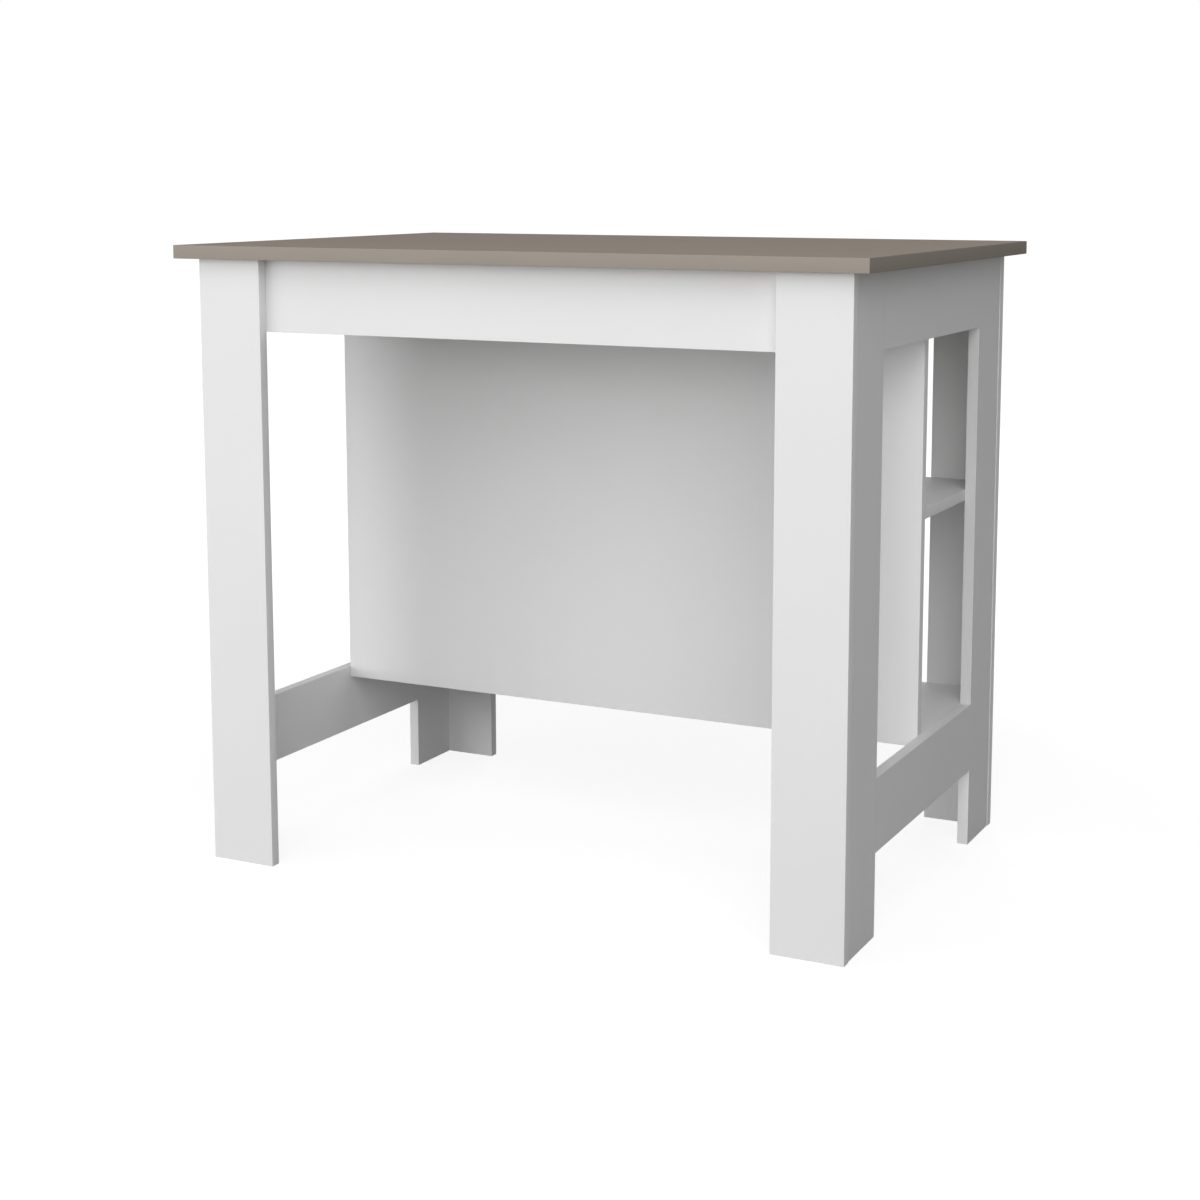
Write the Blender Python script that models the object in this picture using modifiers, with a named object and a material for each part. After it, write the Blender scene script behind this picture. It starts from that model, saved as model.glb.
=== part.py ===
"""A kitchen island: a plain worktop on a board carcass with four L-shaped legs.

The front is an open knee space under an apron. A divider panel stands behind it, and two shelves
lie between the divider and the back legs. Both sides are open frames of equal strips.

Metres, +Z up, +X to the right, and the front faces -Y. The origin is on the floor, under the
middle of the worktop.
"""
from math import radians

import bpy
from mathutils import Vector

# Overall sizes
HEIGHT = 0.900
TOP_LENGTH = 1.038
TOP_DEPTH = 0.706
TOP_THICKNESS = 0.019
SIDE_OVERHANG = 0.0275
FACE_OVERHANG = 0.023

# Carcass boards
BOARD = 0.016
LEG_FACE_WIDTH = 0.102
LEG_SIDE_WIDTH = 0.102
RAIL_WIDTH = 0.102
APRON_WIDTH = 0.102
LOWER_RAIL_TOP = 0.2165
SIDE_SETBACK = 0.0012
SHELF_DEPTH = 0.289
MID_SHELF_TOP = 0.539
BOARD_EASING = 0.0006
TOP_EASING = 0.0010
EASING_STEPS = 2

# Fits: the seam between boards that meet, and the play round a piece in its bore
SEAM = 0.0003
PLAY = 0.0003

# Beech dowels
DOWEL_DIAMETER = 0.008
DOWEL_LENGTH = 0.030
DOWEL_CHAMFER = 0.001
BLIND_SKIN = 0.006
LEG_DOWEL_INSET = 0.120
RAIL_DOWEL_PITCH = 0.050
SHELF_DOWEL_INSET = 0.150

# Cam locks and their bolts
CAM_DIAMETER = 0.015
CAM_SKIN = 0.0035
CAM_SETBACK = 0.024
CAM_PITCH = 0.032
CAM_CROSS_LENGTH = 0.007
CAM_CROSS_WIDTH = 0.0012
CAM_CROSS_DEPTH = 0.0024
BOLT_HEAD_DIAMETER = 0.0064
BOLT_HEAD_LENGTH = 0.003
BOLT_NECK_DIAMETER = 0.004
BOLT_SHANK_DIAMETER = 0.007
BOLT_THREAD_DIAMETER = 0.006
BOLT_THREAD_LENGTH = 0.011

# Three-way corner brackets under the worktop
BRACKET_REACH = 0.040
BRACKET_SHEET = 0.002
BRACKET_CLIP = 0.014
BRACKET_HOLE_DIAMETER = 0.0045
BRACKET_HOLE_REACH = 0.021

# Round pieces and bores
SIDES = 16
SMOOTH_ANGLE = radians(40)
MERGE = 0.00001
OVERCUT = 0.002

# Places worked out from the sizes
HALF_LENGTH = TOP_LENGTH / 2 - SIDE_OVERHANG
HALF_DEPTH = TOP_DEPTH / 2 - FACE_OVERHANG
CARCASS_TOP = HEIGHT - TOP_THICKNESS - SEAM
SIDE_OUTER_X = HALF_LENGTH - SIDE_SETBACK
INNER_X = SIDE_OUTER_X - BOARD
STRIP_MID_X = SIDE_OUTER_X - BOARD / 2
SPAN_X = INNER_X - SEAM
LEG_FACE_INNER_Y = HALF_DEPTH - BOARD
LEG_SIDE_OUTER_Y = LEG_FACE_INNER_Y - SEAM
LEG_SIDE_INNER_Y = LEG_SIDE_OUTER_Y - LEG_SIDE_WIDTH
LEG_SIDE_MID_Y = LEG_SIDE_INNER_Y + LEG_SIDE_WIDTH / 2
RAIL_END_Y = LEG_SIDE_INNER_Y - SEAM
APRON_OUTER_Y = LEG_FACE_INNER_Y - SEAM
APRON_INNER_Y = APRON_OUTER_Y - BOARD
SHELF_BACK_Y = LEG_FACE_INNER_Y - SEAM
SHELF_FRONT_Y = SHELF_BACK_Y - SHELF_DEPTH
DIVIDER_BACK_Y = SHELF_FRONT_Y - SEAM
DIVIDER_FRONT_Y = DIVIDER_BACK_Y - BOARD
DIVIDER_MID_Y = DIVIDER_BACK_Y - BOARD / 2
SHELF_MID_Y = SHELF_FRONT_Y + SHELF_DEPTH / 2
TOP_RAIL_MID_Z = CARCASS_TOP - RAIL_WIDTH / 2
LOWER_RAIL_MID_Z = LOWER_RAIL_TOP - RAIL_WIDTH / 2
BOTTOM_SHELF_MID_Z = LOWER_RAIL_TOP - BOARD / 2
MID_SHELF_MID_Z = MID_SHELF_TOP - BOARD / 2
DOWEL_IN_FACE = BOARD - BLIND_SKIN
DOWEL_IN_END = DOWEL_LENGTH / 2

SIDE_SIGNS = {"left": -1, "right": 1}
END_SIGNS = {"front": -1, "back": 1}
BRACKET_TURNS = {("front", "left"): 0, ("front", "right"): 90,
                 ("back", "right"): 180, ("back", "left"): 270}
AXES = {"x": Vector((1, 0, 0)), "y": Vector((0, 1, 0)), "z": Vector((0, 0, 1))}

# Finishes: base colour, roughness, metallic
FINISHES = {
    "taupe_laminate": ((0.250, 0.216, 0.184, 1.0), 0.45, 0.0),
    "white_melamine": ((0.800, 0.800, 0.800, 1.0), 0.50, 0.0),
    "beech": ((0.560, 0.370, 0.200, 1.0), 0.60, 0.0),
    "zinc": ((0.520, 0.530, 0.540, 1.0), 0.40, 1.0),
}


# Scene, collections and the empty that carries every piece
for leftover in list(bpy.data.objects):
    bpy.data.objects.remove(leftover, do_unlink=True)

PIECES = bpy.data.collections.new("kitchen_island")
CUTTERS = bpy.data.collections.new("kitchen_island_cutters")
for group in (PIECES, CUTTERS):
    bpy.context.scene.collection.children.link(group)

STAND = bpy.data.objects.new("floor_point", None)
PIECES.objects.link(STAND)


def file_under(piece, group):
    """Move an object into one collection and leave every other."""
    for holder in list(piece.users_collection):
        holder.objects.unlink(piece)
    group.objects.link(piece)


def finish_piece(piece, name, finish):
    """Name a piece, hang it on the stand and give it a material of its own."""
    colour, roughness, metallic = FINISHES[finish]
    piece.name = name
    piece.data.name = name
    file_under(piece, PIECES)
    piece.parent = STAND
    material = bpy.data.materials.new(f"{name}_{finish}")
    material.use_nodes = True
    shader = material.node_tree.nodes["Principled BSDF"]
    shader.inputs["Base Color"].default_value = colour
    shader.inputs["Roughness"].default_value = roughness
    shader.inputs["Metallic"].default_value = metallic
    piece.data.materials.append(material)
    return piece


def make_cutter(tool, name):
    """Turn an object into a cutter that isn't part of the island."""
    tool.name = name
    file_under(tool, CUTTERS)
    tool.hide_render = True
    tool.display_type = "WIRE"
    return tool


def cut(piece, tool):
    """Cut a tool's shape out of a piece."""
    boolean = piece.modifiers.new(f"cut_{tool.name}", "BOOLEAN")
    boolean.operation = "DIFFERENCE"
    boolean.solver = "EXACT"
    boolean.object = tool


def block(corner, opposite):
    """A box between two opposite corners, with its origin at its middle."""
    corner, opposite = Vector(corner), Vector(opposite)
    size = [abs(extent) for extent in opposite - corner]
    bpy.ops.mesh.primitive_cube_add(size=1, location=(corner + opposite) / 2)
    box = bpy.context.object
    box.scale = size
    bpy.ops.object.transform_apply(location=False, rotation=False, scale=True)
    return box


def board(name, corner, opposite, finish="white_melamine", easing=BOARD_EASING):
    """A flat board between two opposite corners, with eased edges."""
    panel = finish_piece(block(corner, opposite), name, finish)
    ease = panel.modifiers.new("eased_edges", "BEVEL")
    ease.width = easing
    ease.segments = EASING_STEPS
    return panel


def rod(start, along, length, radius):
    """A plain cylinder from a start point."""
    middle = start + along * length / 2
    turn = along.to_track_quat("Z", "Y").to_euler()
    bpy.ops.mesh.primitive_cylinder_add(
        vertices=SIDES, radius=radius, depth=length, location=middle, rotation=turn)
    return bpy.context.object


def turned(profile, start, along):
    """A piece turned from (radius, height) points that run from its far end to its start."""
    mesh = bpy.data.meshes.new("turned")
    points = [(radius, 0, height) for radius, height in profile]
    mesh.from_pydata(points, [(i, i + 1) for i in range(len(points) - 1)], [])
    piece = bpy.data.objects.new("turned", mesh)
    piece.location = start
    piece.rotation_euler = along.to_track_quat("Z", "Y").to_euler()
    screw = piece.modifiers.new("turning", "SCREW")
    screw.axis = "Z"
    screw.steps = SIDES
    screw.render_steps = SIDES
    screw.use_merge_vertices = True
    screw.merge_threshold = MERGE
    return piece


def dowel(name, seam, along, depth, boards):
    """A beech peg across a seam, this deep on the near side, with its bore in both boards."""
    radius = DOWEL_DIAMETER / 2
    start = Vector(seam) - along * depth
    profile = [
        (0, DOWEL_LENGTH),
        (radius - DOWEL_CHAMFER, DOWEL_LENGTH),
        (radius, DOWEL_LENGTH - DOWEL_CHAMFER),
        (radius, DOWEL_CHAMFER),
        (radius - DOWEL_CHAMFER, 0),
        (0, 0),
    ]
    finish_piece(turned(profile, start, along), name, "beech")
    bore = rod(start - along * PLAY, along, DOWEL_LENGTH + 2 * PLAY, radius + PLAY)
    make_cutter(bore, f"{name}_bore")
    for panel in boards:
        cut(panel, bore)


def cam_bolt(name, cam_axis, along, strip, rail):
    """A steel bolt from the middle of a cam lock, through a strip's edge and into a rail's end."""
    head_end = -BOLT_HEAD_LENGTH / 2
    neck_start = BOLT_HEAD_LENGTH / 2
    shank_start = CAM_DIAMETER / 2 + 2 * PLAY
    shank_end = CAM_SETBACK
    thread_end = shank_end + BOLT_THREAD_LENGTH
    profile = [
        (0, thread_end),
        (BOLT_THREAD_DIAMETER / 2, thread_end),
        (BOLT_THREAD_DIAMETER / 2, shank_end),
        (BOLT_SHANK_DIAMETER / 2, shank_end),
        (BOLT_SHANK_DIAMETER / 2, shank_start),
        (BOLT_NECK_DIAMETER / 2, shank_start),
        (BOLT_NECK_DIAMETER / 2, neck_start),
        (BOLT_HEAD_DIAMETER / 2, neck_start),
        (BOLT_HEAD_DIAMETER / 2, head_end),
        (0, head_end),
    ]
    finish_piece(turned(profile, cam_axis, along), name, "zinc")
    shank_bore = rod(cam_axis, along, shank_end + OVERCUT, BOLT_SHANK_DIAMETER / 2 + PLAY)
    cut(strip, make_cutter(shank_bore, f"{name}_shank_bore"))
    thread_root = cam_axis + along * shank_end
    thread_bore = rod(thread_root, along, BOLT_THREAD_LENGTH + PLAY, BOLT_THREAD_DIAMETER / 2 + PLAY)
    cut(rail, make_cutter(thread_bore, f"{name}_thread_bore"))


def cam_lock(name, face_point, inward, along, strip):
    """A round cam let into a strip's inner face, slotted to grip a bolt's neck and head."""
    radius = CAM_DIAMETER / 2
    depth = BOARD - CAM_SKIN
    cam = finish_piece(rod(face_point, inward, depth, radius), name, "zinc")

    bore = rod(face_point - inward * OVERCUT, inward, depth + OVERCUT + PLAY, radius + PLAY)
    make_cutter(bore, f"{name}_bore")
    cut(strip, bore)

    bolt_axis = face_point + inward * BOARD / 2
    out = radius + OVERCUT
    neck_half = BOLT_NECK_DIAMETER / 2 + PLAY
    head_half = BOLT_HEAD_DIAMETER / 2 + PLAY
    head_reach = BOLT_HEAD_LENGTH / 2 + PLAY
    slots = {
        "neck_slot": (neck_half, 0, out),
        "head_slot": (head_half, -out, head_reach),
    }
    for slot_name, (half, low, high) in slots.items():
        rim = inward * half + AXES["z"] * half
        slot = block(bolt_axis - rim + along * low, bolt_axis + rim + along * high)
        make_cutter(slot, f"{name}_{slot_name}")
        cut(cam, slot)

    for across, length_way in (("y", "z"), ("z", "y")):
        rim = AXES[length_way] * CAM_CROSS_LENGTH / 2 + AXES[across] * CAM_CROSS_WIDTH / 2
        low = face_point - rim - inward * OVERCUT
        cross = block(low, face_point + rim + inward * CAM_CROSS_DEPTH)
        make_cutter(cross, f"{name}_cross_{length_way}")
        cut(cam, cross)


def corner_bracket(name, corner, turn):
    """A pressed three-way angle: one wing on the apron, one on the leg side, one under the top."""
    bracket = block((0, 0, -BRACKET_REACH), (BRACKET_REACH, BRACKET_REACH, 0))
    bpy.ops.object.transform_apply(location=True, rotation=False, scale=False)
    weights = bracket.data.attributes.new("bevel_weight_edge", "FLOAT", "EDGE")
    for edge, weight in zip(bracket.data.edges, weights.data):
        ends = [bracket.data.vertices[index].co for index in edge.vertices]
        far_axes = [i for i in range(3) if min(abs(end[i]) for end in ends) > BRACKET_REACH / 2]
        weight.value = float(len(far_axes) == 2)
    clip = bracket.modifiers.new("clipped_corners", "BEVEL")
    clip.limit_method = "WEIGHT"
    clip.width = BRACKET_CLIP
    clip.segments = 1

    beyond = BRACKET_REACH + OVERCUT
    hollow = block((BRACKET_SHEET, BRACKET_SHEET, -beyond), (beyond, beyond, -BRACKET_SHEET))
    tools = [make_cutter(hollow, f"{name}_hollow")]
    wing_middles = {
        "x": Vector((0, BRACKET_HOLE_REACH, -BRACKET_HOLE_REACH)),
        "y": Vector((BRACKET_HOLE_REACH, 0, -BRACKET_HOLE_REACH)),
        "z": Vector((BRACKET_HOLE_REACH, BRACKET_HOLE_REACH, 0)),
    }
    for axis, middle in wing_middles.items():
        along = AXES[axis]
        span = 2 * (BRACKET_SHEET + OVERCUT)
        hole = rod(middle - along * span / 2, along, span, BRACKET_HOLE_DIAMETER / 2)
        tools.append(make_cutter(hole, f"{name}_hole_{axis}"))

    finish_piece(bracket, name, "zinc")
    bracket.location = corner
    bracket.rotation_euler.z = turn
    for tool in tools:
        cut(bracket, tool)
        bpy.context.view_layer.update()
        tool.matrix_world = bracket.matrix_world @ tool.matrix_world


# Worktop
board("worktop",
      (-TOP_LENGTH / 2, -TOP_DEPTH / 2, HEIGHT - TOP_THICKNESS),
      (TOP_LENGTH / 2, TOP_DEPTH / 2, HEIGHT),
      "taupe_laminate", TOP_EASING)

# Legs: a face board and a side strip, set back a little from the face's edge, make each L
leg_faces = {}
leg_sides = {}
for end, sy in END_SIGNS.items():
    for side, sx in SIDE_SIGNS.items():
        leg_faces[end, side] = board(
            f"{end}_{side}_leg_face",
            (sx * (HALF_LENGTH - LEG_FACE_WIDTH), sy * LEG_FACE_INNER_Y, 0),
            (sx * HALF_LENGTH, sy * HALF_DEPTH, CARCASS_TOP))
        leg_sides[end, side] = board(
            f"{end}_{side}_leg_side",
            (sx * INNER_X, sy * LEG_SIDE_INNER_Y, 0),
            (sx * SIDE_OUTER_X, sy * LEG_SIDE_OUTER_Y, CARCASS_TOP))

# Side rails, in line with the leg sides
top_rails = {}
lower_rails = {}
for side, sx in SIDE_SIGNS.items():
    top_rails[side] = board(
        f"{side}_top_rail",
        (sx * INNER_X, -RAIL_END_Y, CARCASS_TOP - RAIL_WIDTH),
        (sx * SIDE_OUTER_X, RAIL_END_Y, CARCASS_TOP))
    lower_rails[side] = board(
        f"{side}_lower_rail",
        (sx * INNER_X, -RAIL_END_Y, LOWER_RAIL_TOP - RAIL_WIDTH),
        (sx * SIDE_OUTER_X, RAIL_END_Y, LOWER_RAIL_TOP))

# Aprons, behind the leg faces
for end_name, sy in (("front_apron", -1), ("rear_apron", 1)):
    board(end_name,
          (-SPAN_X, sy * APRON_INNER_Y, CARCASS_TOP - APRON_WIDTH),
          (SPAN_X, sy * APRON_OUTER_Y, CARCASS_TOP))

# Divider and shelves
divider = board("divider_panel",
                (-SPAN_X, DIVIDER_FRONT_Y, LOWER_RAIL_TOP - BOARD),
                (SPAN_X, DIVIDER_BACK_Y, CARCASS_TOP))
shelves = {}
for shelf_name, shelf_top in (("bottom_shelf", LOWER_RAIL_TOP), ("mid_shelf", MID_SHELF_TOP)):
    shelves[shelf_name] = board(
        shelf_name,
        (-SPAN_X, SHELF_FRONT_Y, shelf_top - BOARD),
        (SPAN_X, SHELF_BACK_Y, shelf_top))

# Dowels, cam locks and brackets at the legs
for end, sy in END_SIGNS.items():
    for side, sx in SIDE_SIGNS.items():
        face = leg_faces[end, side]
        strip = leg_sides[end, side]
        inboard = AXES["y"] * -sy
        corner_seam = (sx * STRIP_MID_X, sy * LEG_FACE_INNER_Y)
        for level, z in (("low", LEG_DOWEL_INSET), ("high", CARCASS_TOP - LEG_DOWEL_INSET)):
            dowel(f"{end}_{side}_leg_dowel_{level}", (*corner_seam, z), inboard, DOWEL_IN_FACE, (face, strip))

        rail_seam = (sx * STRIP_MID_X, sy * LEG_SIDE_INNER_Y)
        top_rail = top_rails[side]
        for level, step in (("low", -0.5), ("high", 0.5)):
            z = TOP_RAIL_MID_Z + step * RAIL_DOWEL_PITCH
            dowel(f"{side}_top_rail_{end}_dowel_{level}", (*rail_seam, z), inboard, DOWEL_IN_END,
                  (strip, top_rail))

        lower_rail = lower_rails[side]
        lower_name = f"{side}_lower_rail_{end}"
        dowel(f"{lower_name}_dowel", (*rail_seam, LOWER_RAIL_MID_Z - CAM_PITCH / 2), inboard,
              DOWEL_IN_END, (strip, lower_rail))
        cam_y = sy * (LEG_SIDE_INNER_Y + CAM_SETBACK)
        cam_z = LOWER_RAIL_MID_Z + CAM_PITCH / 2
        cam_bolt(f"{lower_name}_cam_bolt", Vector((sx * STRIP_MID_X, cam_y, cam_z)), inboard,
                 strip, lower_rail)
        cam_lock(f"{lower_name}_cam_lock", Vector((sx * INNER_X, cam_y, cam_z)), AXES["x"] * sx,
                 inboard, strip)

        corner_bracket(f"{end}_{side}_corner_bracket",
                       (sx * (INNER_X - SEAM), sy * (APRON_INNER_Y - SEAM), CARCASS_TOP),
                       radians(BRACKET_TURNS[end, side]))

# Dowels that hold the shelves and the divider
for side, sx in SIDE_SIGNS.items():
    outboard = AXES["x"] * sx
    holders = {"bottom_shelf": (lower_rails[side], SHELF_MID_Y, BOTTOM_SHELF_MID_Z),
               "mid_shelf": (leg_sides["back", side], LEG_SIDE_MID_Y, MID_SHELF_MID_Z)}
    for shelf_name, (holder, y, z) in holders.items():
        shelf = shelves[shelf_name]
        dowel(f"{shelf_name}_{side}_dowel", (sx * INNER_X, y, z), -outboard, DOWEL_IN_FACE, (holder, shelf))
        edge_x = sx * (SPAN_X - SHELF_DOWEL_INSET)
        dowel(f"{shelf_name}_{side}_edge_dowel", (edge_x, DIVIDER_BACK_Y, z), AXES["y"], DOWEL_IN_FACE,
              (divider, shelf))
    dowel(f"divider_{side}_dowel", (sx * INNER_X, DIVIDER_MID_Y, TOP_RAIL_MID_Z), -outboard,
          DOWEL_IN_FACE, (top_rails[side], divider))

# Round pieces are shaded smooth up to their rims
for piece in PIECES.objects:
    if piece.type == "MESH":
        piece.data.shade_smooth()
        piece.data.set_sharp_from_angle(angle=SMOOTH_ANGLE)
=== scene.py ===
"""The looks of a white board kitchen island with a taupe worktop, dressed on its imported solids."""
import math

import bpy
from mathutils import Matrix, Vector


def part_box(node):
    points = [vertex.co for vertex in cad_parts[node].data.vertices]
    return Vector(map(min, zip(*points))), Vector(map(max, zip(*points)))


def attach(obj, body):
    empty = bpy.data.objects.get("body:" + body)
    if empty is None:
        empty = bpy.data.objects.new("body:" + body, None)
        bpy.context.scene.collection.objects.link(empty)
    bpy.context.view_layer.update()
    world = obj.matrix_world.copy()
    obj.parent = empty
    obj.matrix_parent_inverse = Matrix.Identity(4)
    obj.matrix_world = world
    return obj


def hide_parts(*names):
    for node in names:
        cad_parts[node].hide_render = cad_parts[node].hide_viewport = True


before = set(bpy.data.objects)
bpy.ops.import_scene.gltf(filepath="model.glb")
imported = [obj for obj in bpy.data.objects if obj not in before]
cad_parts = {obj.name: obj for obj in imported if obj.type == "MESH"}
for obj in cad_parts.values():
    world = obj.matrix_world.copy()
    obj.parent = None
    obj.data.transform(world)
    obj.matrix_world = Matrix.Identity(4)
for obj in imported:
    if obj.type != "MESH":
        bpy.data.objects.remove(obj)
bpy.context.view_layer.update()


# Leg boards
# Each leg is an L of two upright strips of 16 mm particleboard, faced with white melamine. Bought
# in sheets, they are sawn, banded with white plastic on the edges that show, drilled and dowelled.
# The face strip laps the raw edge of the side strip, so no fixing shows from outside.
LEG_NODES = [f"{end}_{side}_leg_{part}" for end in ("front", "back")
             for side in ("left", "right") for part in ("face", "side")]
MELAMINE_WHITE = (0.800, 0.800, 0.800, 1.0)
MELAMINE_WHITE_DEEP = (0.785, 0.785, 0.786, 1.0)
BAND_WHITE = (0.795, 0.795, 0.796, 1.0)
PEBBLE_DEPTH = 0.0001
NOISE_LOW, NOISE_HIGH = 0.3, 0.7
CHIP_DARK = (0.21, 0.13, 0.07, 1.0)
CHIP_PALE = (0.56, 0.41, 0.26, 1.0)
CHIPS_PER_METRE = 420.0
CHIP_RELIEF = 0.4
CHIP_DEPTH = 0.0003
BAND_THICKNESS = 0.0008
EDGE_EASING = 0.0002
EASING_STEPS = 3
SMOOTH_ANGLE = math.radians(40)
RAW_REACH = 0.00028
BORE_PLAY = 0.0003
BORE_FACETS = 32
SKIN_SLOT, BAND_SLOT, RAW_SLOT = range(3)
SQUARE_ON = 0.99
TOUCHING = 1e-6


def add_node(tree, kind, inputs=(), **settings):
    """Add a shader node, with inputs as {socket: value or socket to link from}."""
    made = tree.nodes.new(kind)
    for name, value in settings.items():
        setattr(made, name, value)
    for socket, value in dict(inputs).items():
        if isinstance(value, bpy.types.NodeSocket):
            tree.links.new(value, made.inputs[socket])
        else:
            made.inputs[socket].default_value = value
    return made


def new_group(name, inputs, outputs):
    """Start a shader node group with float or vector sockets."""
    group = bpy.data.node_groups.new(name, "ShaderNodeTree")
    for socket, (kind, value) in inputs.items():
        made = group.interface.new_socket(socket, in_out="INPUT", socket_type=f"NodeSocket{kind}")
        if value is not None:
            made.default_value = value
    for socket, kind in outputs.items():
        group.interface.new_socket(socket, in_out="OUTPUT", socket_type=f"NodeSocket{kind}")
    return group, group.nodes.new("NodeGroupInput"), group.nodes.new("NodeGroupOutput")


def new_material(name, **sockets):
    """A material with one Principled shader, whose plain values are set on its own sockets."""
    material = bpy.data.materials.new(name)
    material.use_nodes = True
    tree = material.node_tree
    shader = tree.nodes["Principled BSDF"]
    for socket, value in sockets.items():
        shader.inputs[socket.replace("_", " ")].default_value = value
    place = add_node(tree, "ShaderNodeTexCoord").outputs["Object"]
    return material, tree, shader, place


def lay_colour(tree, shader, tone, pale, deep):
    """Run the shader's colour from pale to deep by a tone that changes over the surface."""
    mixed = add_node(tree, "ShaderNodeMix", {"Factor": tone, "A": pale, "B": deep}, data_type="RGBA")
    tree.links.new(mixed.outputs["Result"], shader.inputs["Base Color"])


def raise_relief(tree, shader, height, strength, depth):
    """Give the shader a fine relief, too small to model."""
    bump = add_node(tree, "ShaderNodeBump", {
        "Height": height, "Strength": strength, "Distance": depth})
    tree.links.new(bump.outputs["Normal"], shader.inputs["Normal"])


def build_press_skin():
    """The fine pebble that a press plate leaves in melamine and laminate, with a faint cloud."""
    group, ins, outs = new_group(
        "press_skin",
        {"Vector": ("Vector", None), "Pebbles per metre": ("Float", 700.0),
         "Clouds per metre": ("Float", 5.0), "Roughness low": ("Float", 0.40),
         "Roughness high": ("Float", 0.50)},
        {"Height": "Float", "Cloud": "Float", "Roughness": "Float"})
    pebble = add_node(group, "ShaderNodeTexNoise", {
        "Vector": ins.outputs["Vector"], "Scale": ins.outputs["Pebbles per metre"],
        "Detail": 2.0, "Roughness": 0.55})
    cloud = add_node(group, "ShaderNodeTexNoise", {
        "Vector": ins.outputs["Vector"], "Scale": ins.outputs["Clouds per metre"],
        "Detail": 4.0, "Roughness": 0.6})
    soft_cloud = add_node(group, "ShaderNodeMapRange", {
        "Value": cloud.outputs["Fac"], "From Min": NOISE_LOW, "From Max": NOISE_HIGH})
    roughness = add_node(group, "ShaderNodeMapRange", {
        "Value": pebble.outputs["Fac"], "From Min": NOISE_LOW, "From Max": NOISE_HIGH,
        "To Min": ins.outputs["Roughness low"], "To Max": ins.outputs["Roughness high"]})
    group.links.new(pebble.outputs["Fac"], outs.inputs["Height"])
    group.links.new(soft_cloud.outputs["Result"], outs.inputs["Cloud"])
    group.links.new(roughness.outputs["Result"], outs.inputs["Roughness"])
    return group


PRESS_SKIN = build_press_skin()


def pressed_board(name, colour, deep_colour, roughness, emboss, shine):
    """A faced board's skin: even colour, a faint cloud and a fine pebble."""
    material, tree, shader, place = new_material(name, Specular_IOR_Level=shine)
    smoothest, roughest = roughness
    skin = add_node(tree, "ShaderNodeGroup", node_tree=PRESS_SKIN)
    tree.links.new(place, skin.inputs["Vector"])
    skin.inputs["Roughness low"].default_value = smoothest
    skin.inputs["Roughness high"].default_value = roughest
    lay_colour(tree, shader, skin.outputs["Cloud"], colour, deep_colour)
    raise_relief(tree, shader, skin.outputs["Height"], emboss, PEBBLE_DEPTH)
    tree.links.new(skin.outputs["Roughness"], shader.inputs["Roughness"])
    return material


WHITE_MELAMINE = pressed_board("white_melamine", MELAMINE_WHITE, MELAMINE_WHITE_DEEP,
                               roughness=(0.44, 0.54), emboss=0.25, shine=0.05)
WHITE_BAND = pressed_board("white_band", BAND_WHITE, MELAMINE_WHITE_DEEP,
                           roughness=(0.38, 0.44), emboss=0.10, shine=0.08)


def build_chipboard():
    """Raw sawn particleboard: flat chips of several browns, a little rough to the touch."""
    material, tree, shader, place = new_material("raw_chipboard", Roughness=0.85)
    chips = add_node(tree, "ShaderNodeTexVoronoi", {
        "Vector": place, "Scale": CHIPS_PER_METRE, "Randomness": 1.0})
    browns = add_node(tree, "ShaderNodeValToRGB", {"Fac": chips.outputs["Color"]})
    browns.color_ramp.elements[0].color = CHIP_DARK
    browns.color_ramp.elements[1].color = CHIP_PALE
    tree.links.new(browns.outputs["Color"], shader.inputs["Base Color"])
    raise_relief(tree, shader, chips.outputs["Distance"], CHIP_RELIEF, CHIP_DEPTH)
    return material


RAW_CHIPBOARD = build_chipboard()
SCREW_REACH = 0.021
SCREW_RADIUS = 0.0020
SCREW_LENGTH = 0.0130


def bracket_place(node):
    """A bracket's outer corner, and its turn about the vertical."""
    low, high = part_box(node)
    front, left = node.startswith("front"), "_left_" in node
    corner = Vector((low.x if left else high.x, low.y if front else high.y, high.z))
    quarter = {(True, True): 0, (True, False): 1, (False, False): 2, (False, True): 3}[front, left]
    return corner, quarter * math.pi / 2


def screw_spots(node):
    """Where each of a bracket's three screws enters its board, and which way it goes."""
    corner, turn = bracket_place(node)
    around = Matrix.Rotation(turn, 3, "Z")
    for axis, into in enumerate(((-1, 0, 0), (0, -1, 0), (0, 0, 1))):
        spot = Vector((SCREW_REACH, SCREW_REACH, -SCREW_REACH))
        spot[axis] = 0
        yield corner + around @ spot, around @ Vector(into)


def list_bores():
    """Every bore that the fittings need, as (middle, direction, length, radius)."""
    bores = []
    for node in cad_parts:
        low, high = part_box(node)
        middle, extent = (low + high) / 2, high - low
        order = sorted(range(3), key=lambda i: extent[i])
        if "_dowel" in node or node.endswith("_cam_bolt"):
            axis = order[2]
        elif node.endswith("_cam_lock"):
            axis = order[0]
        elif node.endswith("_corner_bracket"):
            bores += [(spot + into * SCREW_LENGTH / 2, into, SCREW_LENGTH, SCREW_RADIUS + BORE_PLAY / 2)
                      for spot, into in screw_spots(node)]
            continue
        else:
            continue
        direction = Vector([float(i == axis) for i in range(3)])
        bores.append((middle, direction, extent[axis] + 2 * BORE_PLAY,
                      extent[order[1]] / 2 + BORE_PLAY))
    return bores


BORES = list_bores()


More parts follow.
